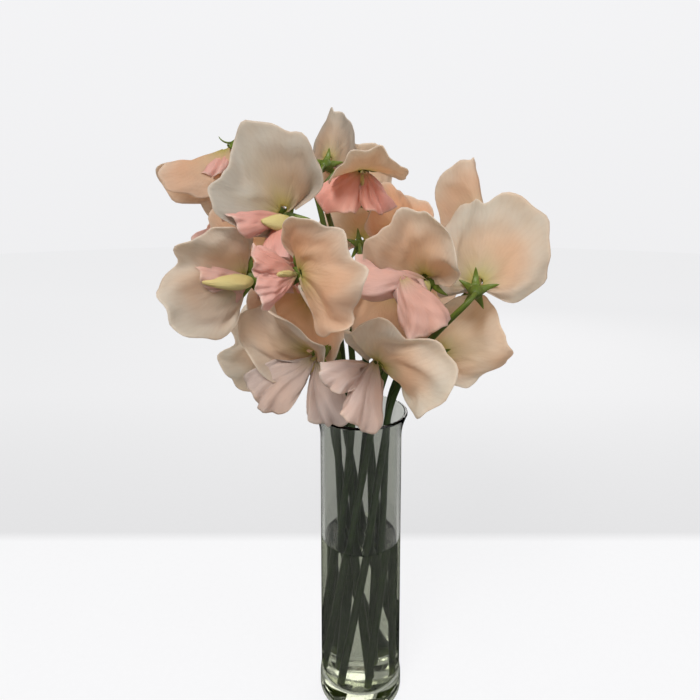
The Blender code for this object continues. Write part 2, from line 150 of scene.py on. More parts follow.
@dataclass
class Blossom:
    """One flower of the frame. `at` is the middle of its calyx's mouth, as laid out, in millimetres.

    azimuth: the way it faces, 0 towards -Y and 90 towards +X; elevation: above the horizon;
    roll: how far its top leans anticlockwise, seen from its front. fold: degrees that the banner's left
    and right halves close forwards. rise and recline: the banner's angle from the facing direction at its
    claw and at its top edge. droop: the wings' angle below the facing direction at their tips. spread:
    how far each wing stands out from the keel's plane. notch: its depth in the banner's top edge, as a
    share of the banner. lobes: how far the banner's left and right sides reach beside an even one.
    breadth: half of the fan that the banner fills, in degrees.
    """

    name: str
    at: tuple
    azimuth: float
    elevation: float = 0
    roll: float = 0
    size: float = 1.0
    fold: tuple = (8, 8)
    rise: float = 45
    recline: float = 100
    curl: float = 12
    droop: float = 15
    spread: float = 28
    wing_size: float = 1.0
    notch: float = 0.10
    lobes: tuple = (1.0, 1.0)
    breadth: float = 104


@dataclass
class Stem:
    """One stem: its turns round the vase's axis at foot and neck, in degrees from +X, its distance
    from that axis, and the blossoms it carries, the last of them at its tip."""

    name: str
    foot: float
    neck: float
    reach: float
    carries: tuple
    node: float = 0.72


@dataclass
class Look:
    """How one blossom's petals look. tone: its banner from cream, 0, to peach, 1. blush: its wings from
    pale, 0, to salmon, 1. grow: the banner's size beside the frame's. ruffle: depth of its waves. pod: its
    keel's size. light: painted light and shade, factors on its banner's and its wings' colours that darken
    blossoms which sit in shade and lighten ones that are lit."""

    tone: float = 0.4
    blush: float = 0.5
    grow: float = 1.0
    ruffle: float = 1.0
    pod: float = 1.0
    # Painted light and shade: factors on the banner's and the wings' colours
    light: tuple = (1.0, 1.0)


@dataclass
class Wing:
    """One wing of a blossom. tip: from the middle of the calyx's mouth, in millimetres. azimuth and
    elevation: the way its outer face looks. half_angle: half of the fan that it fills, in degrees.
    cup: degrees that its sides bend back. root: where it leaves the claw, from the same middle."""

    tip: tuple
    azimuth: float
    elevation: float
    half_angle: float = 40
    cup: float = 35
    root: tuple = (0, -2, 0)


# The layout that the frame was made from
BLOSSOMS = (
    Blossom("upper_left_side", (-59, -8, 277), -80, -42, 0, 0.88, (60, 60), 15, 45, 20, 5, 12, 0.8),
    Blossom(
        "upper_left_front", (-30, -44, 244), 16, 2, 52, 0.84, (6, 8), 65, 125, 12, 50, 50, 1.25,
        notch=0.26, lobes=(1.32, 0.74), breadth=114,
    ),
    Blossom("top_back", (-17, 14, 271), 168, 8, 4, 0.85, (52, 52), 40, 80),
    Blossom("top_front", (0, -15, 267), 5, -50, 0, 0.72, (15, 15), 45, 100, 12, 12, 35, 1.15),
    Blossom("rear_right", (18, 12, 231), 30, 35, 0, 0.75),
    Blossom("right_back", (46, -42, 214), 165, 0, 6, 1.06, (30, 2), 50, 95, breadth=116),
    Blossom("right_low", (23, -38, 188), 160, 0, 65, 0.82, (12, 6), 50, 95),
    Blossom("centre_pink", (23, -49, 221), -20, -8, 25, 0.78, (14, 10), 45, 100, 12, 35, 50, 1.35),
    Blossom(
        "centre_cream", (-19, -62, 230), -28, 0, -72, 0.76, (6, 6), 50, 115, 12, 20, 40,
        lobes=(1.12, 0.92),
    ),
    Blossom("left", (-46, -42, 222), 4, 4, 78, 1.0, (14, 10), 50, 100, 12, -5, 40, lobes=(0.78, 0.95)),
    Blossom("inner_left", (-36, -14, 228), -20, 0, 20, 0.85, (20, 20), 45, 100, 12, 30, 40),
    Blossom("lower_left", (-18, -40, 190), -38, -12, 28, 0.78, (28, 28), 45, 100, 12, 45, 50, 1.4),
    Blossom(
        "lower_centre", (4, -50, 189), -30, -12, -44, 0.86, (8, 8), 50, 105, 12, 40, 45, 1.3,
        notch=0.24, lobes=(1.12, 0.9),
    ),
    Blossom("lower_left_back", (-33, -12, 182), -150, 0, -80, 0.78, notch=0.2),
    Blossom("centre_low", (-17, -24, 213), -15, -10, 150, 0.8),
    Blossom("centre_right_low", (8, -24, 213), 0, -5, 150, 0.8),
    Blossom("right_top", (64, 3, 236), 200, 6, 0, 1.05, (66, 66), 40, 80, 12, 5, 6, 0.75),
    Blossom("back_left", (-56, 17, 240), -108, 5, 0, 1.05),
    Blossom("back_right", (56, 30, 220), 105, 0, 0, 0.95),
    Blossom("back_centre", (0, 50, 228), 180, -5, 0, 1.05),
    Blossom("back_low_left", (-34, 34, 198), -140, -20, 20, 1.0),
    Blossom("back_low_right", (30, 36, 194), 145, -20, -20, 1.0),
    Blossom("back_top", (-2, 38, 253), 175, 28, 0, 0.88),
)

STEMS = (
    Stem("stem_right_front", -126, -33, 15.0, ("right_low", "right_back"), 0.4),
    Stem("stem_front", -173, -72, 15.0, ("centre_right_low", "lower_centre"), 0.5),
    Stem("stem_left_centre", 147, -108, 15.0, ("inner_left", "centre_cream")),
    Stem("stem_left_low", 107, -142, 15.0, ("lower_left_back", "lower_left")),
    Stem("stem_left", 67, -178, 15.0, ("centre_low", "left")),
    Stem("stem_back_left", 22, 132, 15.0, ("back_low_left", "back_left")),
    Stem("stem_back", -25, 75, 15.0, ("back_low_right", "back_centre")),
    Stem("stem_right_back", -78, 20, 15.0, ("back_right", "right_top")),
    Stem("stem_centre_right", 60, -50, 7.0, ("rear_right", "centre_pink")),
    Stem("stem_upper_left", -60, 170, 7.0, ("upper_left_front", "upper_left_side")),
    Stem("stem_top", 180, 60, 7.0, ("top_front", "back_top", "top_back")),
)

# Each look's light is painted light and shade: it darkens blossoms that sit in shade and lightens those that
# are lit.
LOOKS = {
    "upper_left_side": Look(tone=0.75, blush=0.7, grow=1.05, ruffle=0.6),
    "upper_left_front": Look(tone=0.05, blush=0.85, grow=1.08, pod=1.2, light=(0.84, 1.0)),
    "top_back": Look(tone=0.25, grow=0.95, ruffle=0.8, light=(0.82, 1.0)),
    "top_front": Look(tone=0.45, blush=0.8, grow=0.98, ruffle=0.6, light=(1.0, 1.1)),
    "rear_right": Look(tone=1.15, blush=1.0, grow=1.05),
    "right_back": Look(tone=0.05, grow=1.06),
    "right_low": Look(tone=0.25, grow=1.06, ruffle=1.4, light=(1.12, 1.0)),
    "centre_pink": Look(tone=0.45, grow=1.06, ruffle=1.3),
    "centre_cream": Look(tone=0.85, blush=0.8, grow=1.05),
    "left": Look(tone=0.1, blush=0.6, grow=1.04, pod=1.3),
    "inner_left": Look(tone=0.8, blush=0.85, grow=1.15),
    "lower_left": Look(tone=0.3, blush=0.12, grow=1.08, ruffle=1.6, light=(1.0, 0.85)),
    "lower_centre": Look(tone=0.0, blush=0.15, grow=1.06, ruffle=1.6, light=(1.1, 1.0)),
    "lower_left_back": Look(tone=0.0, blush=0.4, grow=1.12, ruffle=1.4),
    "centre_low": Look(tone=1.0, blush=0.8, grow=1.2),
    "centre_right_low": Look(tone=0.8, blush=0.6, grow=1.2),
    "right_top": Look(tone=0.5, grow=1.05, ruffle=0.5),
}

# The left wing, then the right one, of each blossom whose wings are listed
WINGS = {
    "upper_left_front": (Wing((-21, -15, 0), -15, 40, 36, 45), Wing((-10, -17, -18), -40, 10, 36, 45)),
    "right_back": (
        Wing((0, 19, 3), 200, 10, 30, root=(2, 4, 0)),
        Wing((9, 18, 3), 150, 10, 30, root=(2, 4, 0)),
    ),
    "left": (Wing((-18, -12, 6), -10, 40, 42, 50), Wing((-24, -11, -10), 0, -10, 40, 25)),
    "centre_pink": (Wing((-29, -12, 3), -15, 15, 32), Wing((0, -15, -18), 8, 15, 42, 35, (-12, -9, 4))),
    "centre_cream": (Wing((-15, -8, 7), -30, 30, 36), Wing((-12, -12, -5), -10, -10, 36)),
    "inner_left": (Wing((-8, -22, -12), -35, 10, 40), Wing((12, -24, 1), 20, 35, 36)),
    "lower_left": (Wing((-23, -9, -17), -25, 12, 30, 30), Wing((4, -10, -25), 0, 0, 28, 35)),
    "lower_centre": (Wing((-19, -9, -3), -40, 20, 30), Wing((-9, -14, -19), -5, -5, 30, 40, (-1, -4, 4))),
    "top_front": (Wing((-13, -11, -17), -15, -5, 46, 50), Wing((9, -8, -17), 30, 5, 38, 50)),
}


# --- properties

def colour(name, description, default):
    return FloatVectorProperty(
        name=name, description=description, default=default, size=4, min=0, max=1, subtype="COLOR"
    )


def measure(name, description, millimetres):
    default = millimetres * MM
    return FloatProperty(name=name, description=description, default=default, unit="LENGTH")


class SweetPeaSizes(bpy.types.PropertyGroup):
    petal_thickness: measure("Petal thickness", "Of every petal's sheet", 0.32)
    ruffle: measure("Ruffle", "Height of the waves along a margin", 3.0)
    margin_roll: measure("Margin roll", "How far a margin bends back", 1.3)
    veins: IntProperty(name="Veins", description="Veins across half a banner", default=26)
    lobe_length: measure("Calyx lobe", "Length of a calyx's lobes", 7.6)
    stem_radius: measure("Stem radius", "Of a stem at its cut foot", 1.9)
    vase_sides: IntProperty(name="Vase sides", description="Steps round the turned glass", default=128)


class SweetPeaColours(bpy.types.PropertyGroup):
    cream: colour("Cream", "A banner at tone 0", (0.72, 0.70, 0.64, 1))
    peach: colour("Peach", "A banner at tone 1", (0.79, 0.57, 0.40, 1))
    claw: colour("Claw", "Yellow-green at the foot of a petal", (0.60, 0.56, 0.18, 1))
    # Painted highlight: a thin bright line along each petal's margin, where its edge catches the light.
    painted_rim_highlight: colour("Rim", "A petal's thin pale margin", (0.86, 0.80, 0.72, 1))
    pale: colour("Pale wing", "A wing at blush 0", (0.86, 0.79, 0.75, 1))
    salmon: colour("Salmon wing", "A wing at blush 1", (0.80, 0.41, 0.34, 1))
    keel: colour("Keel", "The keel between the wings", (0.68, 0.60, 0.27, 1))
    green: colour("Stem green", "Stems in the vase", (0.026, 0.052, 0.008, 1))
    bright: colour("Calyx green", "Calyces and young stalks", (0.10, 0.14, 0.016, 1))
    glass: colour("Glass", "The vase's tint", (0.56, 0.57, 0.53, 1))
    water: colour("Water", "The water's tint", (0.93, 0.95, 0.84, 1))


# --- petal surfaces

def facing(blossom):
    """(forward, up, side) unit vectors of a blossom."""
    az, el, roll = (math.radians(v) for v in (blossom.azimuth, blossom.elevation, blossom.roll))
    forward = Vector((math.sin(az) * math.cos(el), -math.cos(az) * math.cos(el), math.sin(el)))
    level_up = (Vector((0, 0, 1)) - forward * forward.z).normalized()
    level_side = forward.cross(level_up)
    up = level_up * math.cos(roll) + level_side * math.sin(roll)
    return forward, up, forward.cross(up)


def fan(columns, rows, half_angle, length, blunt, notch, scallop=0.0, seed=0):
    """Flat petal: (across, along) arrays of rows by columns, from the claw out to a rounded edge."""
    turn = np.linspace(-1, 1, columns)
    share = np.linspace(CLAW_SHARE, 1, rows)
    angle = np.radians(half_angle) * turn * SIDE_REACH
    corner = np.sqrt(1 - np.abs(turn * SIDE_REACH) ** CORNER_POWER)
    round_edge = blunt + (1 - blunt) * np.cos(0.9 * angle)
    notch_angle = NOTCH_ANGLE + 0.6 * max(0, notch - 0.1)
    reach = length * corner * (round_edge - notch * np.exp(-((angle / notch_angle) ** 2)))
    waves = np.sin(2.3 * angle + seed) + 0.9 * np.abs(np.sin(2.9 * angle + 2 * seed))
    nicks = 0.4 * np.sin(11 * angle + seed) + 0.45 * np.abs(np.sin(8.3 * angle - seed))
    nicks += 0.2 * np.sin(21 * angle)
    reach = reach * (1 + scallop * (waves + nicks - 0.4))
    distance = np.outer(share, reach)
    return distance * np.sin(angle), distance * np.cos(angle)


def bent(across, along, fold, curl, start, end, length):
    """A flat petal bent to shape, as (side, forward, up) coordinates from its claw.

    Its midline turns from angle start to end, measured from forward to up, over its length. Each half
    folds by its fold angle at the midline and curls on by curl degrees at its far edge."""
    first, bend = math.radians(start), math.radians(end - start) / length
    travel, tail = np.maximum(along, 0), np.minimum(along, 0)
    angle = first + bend * travel
    forward = (np.sin(angle) - math.sin(first)) / bend + tail * math.cos(first)
    up = (math.cos(first) - np.cos(angle)) / bend + tail * math.sin(first)
    fold_angle = np.radians(np.where(across < 0, fold[0], fold[1]))
    reach = np.abs(across)
    side, lift = np.zeros_like(reach), np.zeros_like(reach)
    for step in range(BEND_STEPS):
        s = reach * (step + 0.5) / BEND_STEPS
        lean = fold_angle * (1 - np.exp(-s / CREASE_WIDTH)) + math.radians(curl) * s / length
        side += np.cos(lean) * reach / BEND_STEPS
        lift += np.sin(lean) * reach / BEND_STEPS
    forward, up = forward + lift * np.sin(angle), up - lift * np.cos(angle)
    return np.stack([np.sign(across) * side, forward, up], axis=-1)


def placed(blossom, local, claw):
    """World points of a petal given along the blossom's own directions: side, forward and up."""
    front, top, flank = facing(blossom)
    origin = Vector(blossom.at) * MM + front * claw[0] + top * claw[1]
    return np.array(origin) + local @ np.array([flank, front, top])


def banner_sheet(blossom, columns, rows, length, scallop=0.0, seed=0):
    """A banner bent to shape, along its own directions."""
    across, along = fan(columns, rows, blossom.breadth, length, BANNER_BLUNT, blossom.notch, scallop, seed)
    lobes = np.interp(np.linspace(-1, 1, columns), (-0.5, 0.5), blossom.lobes)
    shape = (blossom.fold, blossom.curl, blossom.rise, blossom.recline, length)
    return bent(across * lobes, along * lobes, *shape)


def frame_banner(blossom):
    """The frame's own banner, as coarse as its solid."""
    columns, rows = 9, 5
    local = banner_sheet(blossom, columns, rows, BANNER_HEIGHT * blossom.size)
    share = np.linspace(CLAW_SHARE, 1, rows)
    wave = np.sin(np.linspace(-BANNER_RIPPLES, BANNER_RIPPLES, columns) + blossom.roll)
    local[..., 1] += BANNER_RIPPLE * np.outer(share**3, wave)
    return placed(blossom, local, BANNER_CLAW)


def settled(blossom):
    """The blossom where the frame holds it: its banner's solid says where its calyx's mouth is."""
    there = [np.array(corner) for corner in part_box("banner_" + blossom.name)]
    here = frame_banner(replace(blossom, at=(0, 0, 0))).reshape(-1, 3)
    offset = (there[0] + there[1] - here.min(axis=0) - here.max(axis=0)) / 2
    return replace(blossom, at=tuple(offset / MM))


def normals(grid):
    """Unit normals at each point of a sheet."""
    down, right = np.gradient(grid, axis=(0, 1))
    found = np.cross(right, down)
    return found / (np.linalg.norm(found, axis=-1, keepdims=True) + 1e-12)


def ruffled(local, share, turn, height, roll, seed):
    """A petal's surface with broad uneven waves that grow towards its margin, which bends back a little."""
    drift = turn + 0.12 * np.sin(5 * share + seed)
    wave = 0.7 * np.sin(3.6 * drift + seed) + 0.5 * np.sin(6.9 * drift + 1.7 * seed + 1.2 * share)
    fine = 0.4 * np.sin(12.5 * drift + 2.3 * seed) + 0.2 * np.sin(23 * drift - seed)
    dimple = 0.3 * np.sin(8 * share + seed) * np.cos(5 * turn - seed) + 0.12 * np.sin(19 * share + 9 * turn)
    margin = np.clip((share - 0.7) / 0.3, 0, 1) ** 2
    chance = np.random.default_rng(round(100 * seed) + 7)
    pleats = np.zeros_like(share)
    for _pleat in range(PLEATS):
        middle, width, lean, depth = chance.uniform((-0.95, 0.055, -0.3, 0.4), (0.95, 0.14, 0.3, 1.0))
        crease = np.exp(-np.abs((drift - middle - lean * (share - 0.5)) / width) ** 1.5)
        pleats += chance.choice((-1, 1)) * depth * crease
    lift = height * (share**1.8 * wave + share**4 * fine + share * dimple + share**1.4 * pleats)
    return local + normals(local) * (lift - roll * margin * (1 + 0.8 * np.sin(4.3 * turn + seed)))[..., None]


# --- meshes

def linked(name, data):
    """A new object in the scene."""
    obj = bpy.data.objects.new(name, data)
    bpy.context.scene.collection.objects.link(obj)
    return obj


def written(name, work):
    """A bmesh written to a new mesh."""
    mesh = bpy.data.meshes.new(name)
    work.to_mesh(mesh)
    work.free()
    return mesh


def add_object(name, mesh, finish, slot, *nodes):
    """The mesh as a piece of the bunch: it rides on the frame and stands for its nodes."""
    obj = linked(name, mesh)
    mesh.materials.append(finish)
    mesh.shade_smooth()
    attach(obj, BODY)
    if nodes:
        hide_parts(*nodes)
    return obj


def painted(mesh, tints, uvs):
    """Per-point colours and petal coordinates, for the materials to read."""
    layer = mesh.color_attributes.new("tint", "FLOAT_COLOR", "POINT")
    layer.data.foreach_set("color", np.asarray(tints, np.float32).reshape(-1))
    corners = np.empty(len(mesh.loops), np.int32)
    mesh.loops.foreach_get("vertex_index", corners)
    places = np.asarray(uvs, np.float32)[corners].reshape(-1)
    mesh.uv_layers.new(name="petal").data.foreach_set("uv", places)


def sheet_mesh(name, grid, tints, uvs):
    """A sheet's grid of points as a mesh."""
    rows, columns = grid.shape[:2]
    faces = [
        (r * columns + c, r * columns + c + 1, (r + 1) * columns + c + 1, (r + 1) * columns + c)
        for r in range(rows - 1)
        for c in range(columns - 1)
    ]
    mesh = bpy.data.meshes.new(name)
    mesh.from_pydata(grid.reshape(-1, 3).tolist(), [], faces)
    painted(mesh, tints.reshape(-1, 4), uvs.reshape(-1, 2))
    return mesh


def add_petal(name, grid, tints, uvs, thickness, *piece):
    """A sheet made solid, half of its thickness on each side. piece: its finish, a slot that is not used,
    and its node.
    """
    petal = add_object(name, sheet_mesh(name, grid, tints, uvs), *piece)
    solid = petal.modifiers.new("thickness", "SOLIDIFY")
    solid.thickness = thickness
    solid.offset = 0


def across_frames(points, first=None):
    """(side, up) unit vectors at each point of a line, turned as little as possible along it."""
    ways = np.gradient(points, axis=0)
    ways /= np.linalg.norm(ways, axis=1, keepdims=True)
    side = np.array(first if first is not None else Vector(ways[0]).orthogonal(), float)
    found = []
    for way in ways:
        side = side - way * side.dot(way)
        side /= np.linalg.norm(side)
        found.append((side, np.cross(way, side)))
    return found


def loft(points, frames, widths, heights, sides, ridges=0, ridge=0.0):
    """Rings of points round a line: an ellipse of those half widths and half heights at each."""
    turn = np.linspace(0, 2 * math.pi, sides, endpoint=False)
    wobble = 1 + ridge * np.cos(ridges * turn)
    rings = [
        point + np.outer(np.cos(turn) * wobble * w, side) + np.outer(np.sin(turn) * wobble * h, up)
        for point, (side, up), w, h in zip(points, frames, widths, heights)
    ]
    return np.array(rings)


class Growth:
    """Collects closed lofts into one mesh."""

    def __init__(self):
        self.points, self.faces, self.tints, self.uvs = [], [], [], []

    def add(self, rings, tints):
        count, sides = rings.shape[:2]
        first = len(self.points)
        self.points += rings.reshape(-1, 3).tolist()
        self.tints += np.repeat(np.asarray(tints, float), sides, axis=0).tolist()
        along = np.linspace(0, 1, count)
        self.uvs += [(s / sides, t) for t in along for s in range(sides)]
        for r in range(count - 1):
            for s in range(sides):
                a, b = first + r * sides + s, first + r * sides + (s + 1) % sides
                self.faces.append((a, b, b + sides, a + sides))
        self.faces.append(tuple(first + s for s in reversed(range(sides))))
        last = first + (count - 1) * sides
        self.faces.append(tuple(last + s for s in range(sides)))

    def mesh(self, name):
        mesh = bpy.data.meshes.new(name)
        mesh.from_pydata(self.points, [], self.faces)
        painted(mesh, self.tints, self.uvs)
        return mesh


# --- materials

class Nodes:
    """A material's node tree, with short calls to add and join nodes."""

    def __init__(self, name):
        self.material = bpy.data.materials.new(name)
        self.material.use_nodes = True
        self.tree = self.material.node_tree
        self.shader = self.tree.nodes["Principled BSDF"]
        self.output = self.tree.nodes["Material Output"]

    def node(self, kind, settings=None, **inputs):
        made = self.tree.nodes.new("ShaderNode" + kind)
        for key, value in (settings or {}).items():
            setattr(made, key, value)
        for key, value in inputs.items():
            self.feed(made.inputs[key.replace("_", " ")], value)
        return made

    def feed(self, socket, value):
        if isinstance(value, bpy.types.NodeSocket):
            self.tree.links.new(value, socket)
        else:
            socket.default_value = value

    def math(self, operation, first, second=0.0):
        made = self.node("Math", {"operation": operation})
        self.feed(made.inputs[0], first)
        self.feed(made.inputs[1], second)
        return made.outputs[0]

    def scaled(self, value, low, high):
        """A value from 0 to 1 brought to the range from low to high."""
        made = self.node("MapRange", Value=value, To_Min=low, To_Max=high)
        return made.outputs["Result"]

    def tinted(self, colour, other, factor):
        """One colour multiplied by another, as far as the factor says."""
        made = self.node("Mix", {"data_type": "RGBA", "blend_type": "MULTIPLY"})
        self.feed(made.inputs["Factor"], factor)
        self.feed(made.inputs[6], colour)
        self.feed(made.inputs[7], other)
        return made.outputs[2]

    def noise(self, vector, scale, detail, **more):
        made = self.node("TexNoise", Vector=vector, Scale=scale, Detail=detail, **more)
        return made.outputs["Fac"]

    def bump(self, strength, distance, height, **more):
        made = self.node("Bump", Strength=strength, Distance=distance, Height=height, **more)
        return made.outputs["Normal"]

    def surface(self, **inputs):
        """Sets the material's own shader."""
        for key, value in inputs.items():
            self.feed(self.shader.inputs[key.replace("_", " ")], value)

    def ramp(self, value, tones, blue):
        """A ramp of greys, whose blue is a little stronger. tones: (position, grey) pairs."""
        made = self.node("ValToRGB", Fac=value)
        stops = made.color_ramp.elements
        for at, grey in tones[1:-1]:
            stops.new(at).color = (grey, grey, grey * blue, 1)
        for end in (0, -1):
            at, grey = tones[end]
            stops[end].position = at
            stops[end].color = (grey, grey, grey * blue, 1)
        return made.outputs["Color"]


def petal_finish(name, veins, translucency):
    """Soft petal: its painted tint, fine radiating veins, a cellular grain, and light let through."""
    nodes = Nodes(name)
    tint = nodes.node("Attribute", {"attribute_name": "tint"}).outputs["Color"]
    place = nodes.node("UVMap", {"uv_map": "petal"}).outputs["UV"]
    across = nodes.node("SeparateXYZ", Vector=place).outputs
    waver = nodes.noise(place, 5.0, 2.0)
    count = nodes.math("MULTIPLY", across["X"], float(veins))
    line = nodes.math("ADD", count, nodes.math("MULTIPLY", waver, 2.5))
    swing = nodes.math("SINE", nodes.math("MULTIPLY", line, math.pi))
    vein = nodes.math("POWER", nodes.math("ABSOLUTE", swing), 0.45)
    solid = nodes.node("TexCoord").outputs["Object"]
    mottle = nodes.noise(solid, 110.0, 3.0)
    grain = nodes.node("TexVoronoi", Vector=solid, Scale=2600.0).outputs["Distance"]
    fade = nodes.math("MULTIPLY", nodes.math("SUBTRACT", 1.0, vein), nodes.scaled(waver, 0.0, 0.9))
    veined = nodes.tinted(tint, (0.94, 0.90, 0.87, 1), fade)
    cloud = nodes.noise(solid, 42.0, 2.0)
    warmth = nodes.node("MapRange", Value=cloud, From_Min=0.42, From_Max=0.66, To_Max=0.8)
    cast = nodes.tinted(veined, (1.0, 0.90, 0.81, 1), warmth.outputs["Result"])
    shade = nodes.tinted(cast, (0.90, 0.87, 0.85, 1), nodes.scaled(mottle, 0.0, 0.9))
    radial = nodes.node("Mapping", Vector=place, Scale=(4.0, 1.8, 1.0)).outputs["Vector"]
    crease = nodes.noise(radial, 1.0, 4.0, Distortion=0.6)
    folds = nodes.bump(0.55, 0.0022, crease)
    height = nodes.math("ADD", nodes.math("MULTIPLY", vein, 0.3), nodes.math("MULTIPLY", grain, 0.35))
    relief = nodes.bump(0.2, 0.00022, height, Normal=folds)
    nodes.surface(Base_Color=shade, Roughness=nodes.scaled(mottle, 0.48, 0.68), Normal=relief)
    nodes.surface(Specular_IOR_Level=0.26, Sheen_Weight=0.05, Sheen_Roughness=0.4)
    warm = nodes.tinted(shade, (1.0, 0.95, 0.88, 1), 1.0)
    through = nodes.node("BsdfTranslucent", Color=warm, Normal=relief)
    mix = nodes.node("MixShader")
    mix.inputs[0].default_value = translucency
    nodes.feed(mix.inputs[1], nodes.shader.outputs[0])
    nodes.feed(mix.inputs[2], through.outputs[0])
    nodes.feed(nodes.output.inputs["Surface"], mix.outputs[0])
    return nodes.material


def stalk_finish():
    """Fresh stem: its painted green with long pale streaks, small flecks and a satin skin."""
    nodes = Nodes("stem_green")
    tint = nodes.node("Attribute", {"attribute_name": "tint"}).outputs["Color"]
    solid = nodes.node("TexCoord").outputs["Object"]
    long = nodes.node("Mapping", Vector=solid, Scale=(900.0, 900.0, 45.0)).outputs["Vector"]
    streak = nodes.noise(long, 1.0, 2.0)
    fleck = nodes.noise(solid, 900.0, 2.0)
    pale = nodes.tinted(tint, (1.5, 1.5, 1.2, 1), nodes.scaled(streak, 0.0, 0.8))
    shade = nodes.tinted(pale, (0.7, 0.72, 0.6, 1), nodes.scaled(fleck, 0.0, 0.7))
    relief = nodes.bump(0.3, 0.0003, streak)
    nodes.surface(Base_Color=shade, Roughness=nodes.scaled(fleck, 0.38, 0.6), Normal=relief)
    nodes.surface(Subsurface_Weight=0.06, Subsurface_Radius=(0.001, 0.0014, 0.0004))
    return nodes.material


def clear_finish(name, tint, ior, wave_size, wave_height, smear):
    """Clear glass or water: a tint, a very slight waviness, and roughness that varies like smears."""
    nodes = Nodes(name)
    solid = nodes.node("TexCoord").outputs["Object"]
    wave = nodes.noise(solid, wave_size, 1.0)
    patch = nodes.noise(solid, 60.0, 3.0)
    nodes.surface(Base_Color=tint, IOR=ior, Transmission_Weight=1.0)
    nodes.surface(Roughness=nodes.scaled(patch, 0.0, smear), Normal=nodes.bump(0.25, wave_height, wave))
    return nodes.material


def floor_finish():
    """Pale matt tabletop, and beyond its back edge painted shade: darker at first, then lighter again far
    off, as the light falls off behind the table.
    """
    nodes = Nodes("pale_floor")
    solid = nodes.node("TexCoord").outputs["Object"]
    depth = nodes.node("SeparateXYZ", Vector=solid).outputs["Y"]
    # Painted shade: the ramp darkens the ground beyond the table's back edge and lightens it again far off.
    ramp = nodes.ramp(nodes.math("DIVIDE", depth, FLOOR_RADIUS), FLOOR_TONES, FLOOR_BLUE)
    speck = nodes.noise(solid, 300.0, 2.0)
    tone = nodes.tinted(ramp, (0.98, 0.98, 0.98, 1), speck)
    nodes.surface(Base_Color=nodes.tinted(tone, (0.1, 0.1, 0.1, 1), 1.0), Emission_Color=tone)
    nodes.surface(Emission_Strength=FLOOR_GLOW, Roughness=0.85, Specular_IOR_Level=0.1)
    return nodes.material


# --- petals

def mixed(first, second, weight):
    """Colours between two, by an array of weights."""
    weight = np.asarray(weight, float)[..., None]
    return np.asarray(first, float) * (1 - weight) + np.asarray(second, float) * weight


def petal_grid(columns, rows):
    """(share, turn): the way out from the claw, and across the fan from -1 to 1."""
    return np.meshgrid(np.linspace(CLAW_SHARE, 1, rows), np.linspace(-1, 1, columns), indexing="ij")


def add_banner(blossom, seed, finish, sizes, colours):
    look = LOOKS.get(blossom.name, Look())
    length = BANNER_HEIGHT * blossom.size * look.grow
    local = banner_sheet(blossom, *BANNER_GRID, length, BANNER_SCALLOP, seed)
    share, turn = petal_grid(*BANNER_GRID)
    local = ruffled(local, share, turn, sizes.ruffle * look.ruffle, sizes.margin_roll, seed)
    base = mixed(colours.cream, colours.peach, np.full_like(share, look.tone))
    patch = 0.5 + 0.5 * np.sin(3.1 * turn + seed) * np.sin(2.5 * share + 2 * seed)
    heart = mixed(base, colours.peach, 0.75 * patch * np.exp(-((share - 0.45) / 0.3) ** 2))
    edge = mixed(heart, colours.cream, 0.7 * np.clip((share - 0.7) / 0.3, 0, 1) * (0.4 + 0.6 * patch))
    glow = 0.35 * np.exp(-((share / 0.45) ** 2)) * (1 - 0.6 * patch) + 0.9 * np.exp(-((share / 0.2) ** 2))
    # Painted highlight: the banner's last rows turn pale along its margin, where the edge catches the light.
    painted_rim_highlight = 0.7 * np.clip((share - 0.96) / 0.04, 0, 1)
    # look.light[0] paints light or shade over the whole banner's colour.
    tints = mixed(mixed(edge * look.light[0], colours.claw, np.clip(glow, 0, 1)), colours.painted_rim_highlight, painted_rim_highlight)
    grid = placed(blossom, local, BANNER_CLAW)
    uvs = np.stack([turn, share], axis=-1)
    node = "banner_" + blossom.name
    add_petal(node + "_petal", grid, tints, uvs, sizes.petal_thickness, finish, "banner_cream", node)


def usual_wings(blossom):
    """Wings for a blossom whose own aren't laid out: they lean away from its keel on both sides."""
    front, top, flank = facing(blossom)
    length = WING_LENGTH * blossom.size * blossom.wing_size / MM
    found = []
    for hand in (-1, 1):
        aside = math.radians(22 + 0.5 * blossom.spread)
        dip = math.radians(blossom.droop)
        way = front * math.cos(dip) * math.cos(aside) - top * math.sin(dip)
        way += flank * hand * math.sin(aside)
        face = flank * hand * 0.7 + top * 0.8
        azimuth = math.degrees(math.atan2(face.x, -face.y))
        elevation = math.degrees(math.asin(face.normalized().z))
        found.append(Wing(tuple(way * length * 0.95), azimuth, elevation, root=tuple(front * 2)))
    return found


